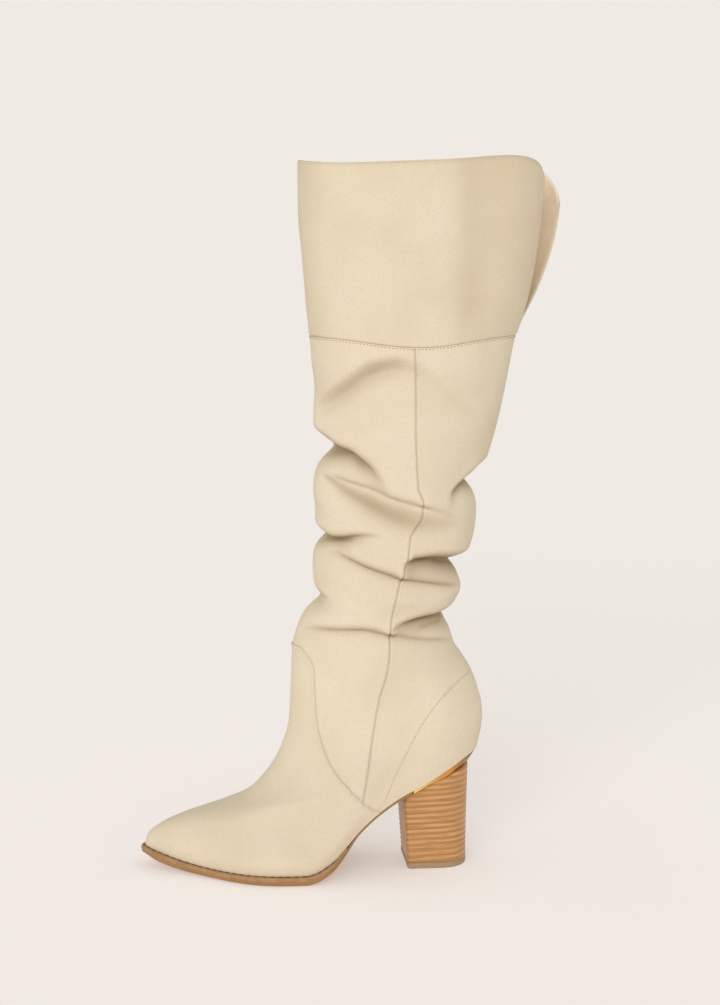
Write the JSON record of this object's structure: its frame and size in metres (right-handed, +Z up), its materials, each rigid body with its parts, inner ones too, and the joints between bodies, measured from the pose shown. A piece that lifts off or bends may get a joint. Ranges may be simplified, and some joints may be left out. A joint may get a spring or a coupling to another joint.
{
  "type": "slouch boot",
  "caption": "Tall leather slouch boot with a folded shaft, a wide cuff slit at the back, a pointed toe and a stacked block heel.",
  "frame": {"origin": "centre of the heel's ground face, on the floor", "axes": "+X towards the toe, +Y towards the outer side of this left boot, +Z up"},
  "size_m": [0.3079, 0.1038, 0.5216],
  "materials": {
    "leather": "matt smooth cream leather with fine grain",
    "cuff_leather": "matt smooth cream leather, a shade darker",
    "outsole": "matt tan sole unit",
    "welt": "brown edge with a darker stitch line",
    "insole": "smooth tan lining leather",
    "gold_metal": "polished gold metal",
    "stacked_heel": "stacked layers of tan leather board with fine lines",
    "heel_rubber": "matt brown rubber"
  },
  "bodies": {
    "root": {"upper": "leather", "cuff": "cuff_leather", "outsole": "outsole", "welt": "welt", "insole": "insole", "gold_rand": "gold_metal", "heel_block": "stacked_heel", "heel_top_piece": "heel_rubber"}
  },
  "joints": []
}
